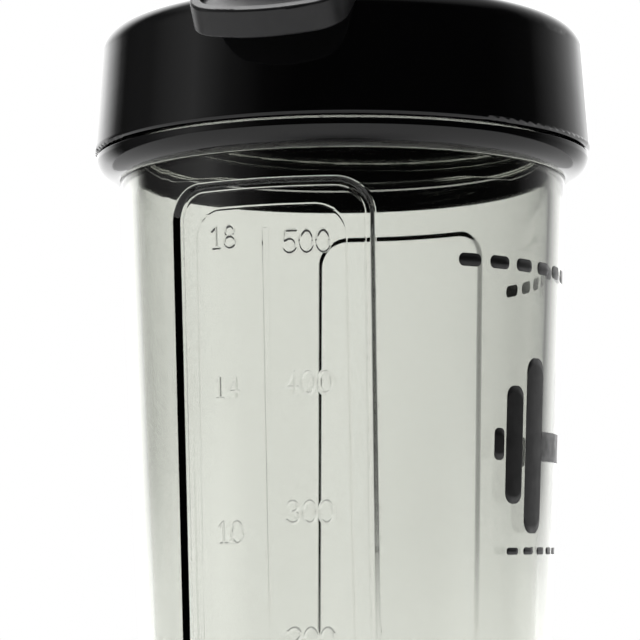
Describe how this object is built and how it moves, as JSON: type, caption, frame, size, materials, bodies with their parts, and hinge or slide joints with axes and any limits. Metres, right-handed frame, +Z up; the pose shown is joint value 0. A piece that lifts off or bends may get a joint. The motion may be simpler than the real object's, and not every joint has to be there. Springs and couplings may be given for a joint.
{
  "type": "protein shaker bottle",
  "caption": "Tapered clear shaker cup with scale panels, screw lid, spout with flip cap, carry loop and a wire whisk ball inside.",
  "frame": {"origin": "centre of the base, on the surface that the bottle stands on", "axes": "+Z up along the cup's axis; -Y towards the flip cap's thumb tab and the spout; the hinge pin lies along X"},
  "size_m": [0.09, 0.1003, 0.2083],
  "materials": {
    "smoky_clear": "clear, faintly smoked, glossy moulded copolyester",
    "black_gloss": "black, polished mould finish",
    "black_satin": "black, fine satin mould texture",
    "silicone": "soft matt silicone",
    "whisk_steel": "bright drawn stainless wire"
  },
  "bodies": {
    "cup": {"cup": "smoky_clear", "neck_collar": "black_gloss"},
    "seal": {"lid_seal": "silicone"},
    "lid": {"screw_lid": "black_gloss", "hinge_pin": "black_satin"},
    "cap": {"flip_cap": "black_satin", "spout_seal": "silicone"},
    "loop": {"carry_loop": "black_satin"},
    "ball": {"whisk_ball": "whisk_steel"}
  },
  "joints": [
    {"name": "lid_lift", "type": "slide", "parent": "cup", "child": "seal", "axis": [0, 0, 1], "range_m": [0, 0.032]},
    {"name": "lid_turn", "type": "hinge", "parent": "seal", "child": "lid", "pos_m": [0, 0, 0.16], "axis": [0, 0, 1], "range_deg": [0, 1440]},
    {"name": "cap_flip", "type": "hinge", "parent": "lid", "child": "cap", "pos_m": [0, -0.00691, 0.20368], "axis": [-1, 0, 0], "range_deg": [0, 115]},
    {"name": "loop_swing", "type": "hinge", "parent": "lid", "child": "loop", "pos_m": [0, -0.00691, 0.20368], "axis": [1, 0, 0], "range_deg": [0, 100]},
    {"name": "ball_lift", "type": "slide", "parent": "cup", "child": "ball", "axis": [0, 0, 1], "range_m": [0, 0.09]}
  ],
  "couplings": [
    {"joint": "lid_lift", "follows": "lid_turn", "m_per_rad": 0.0012732}
  ]
}
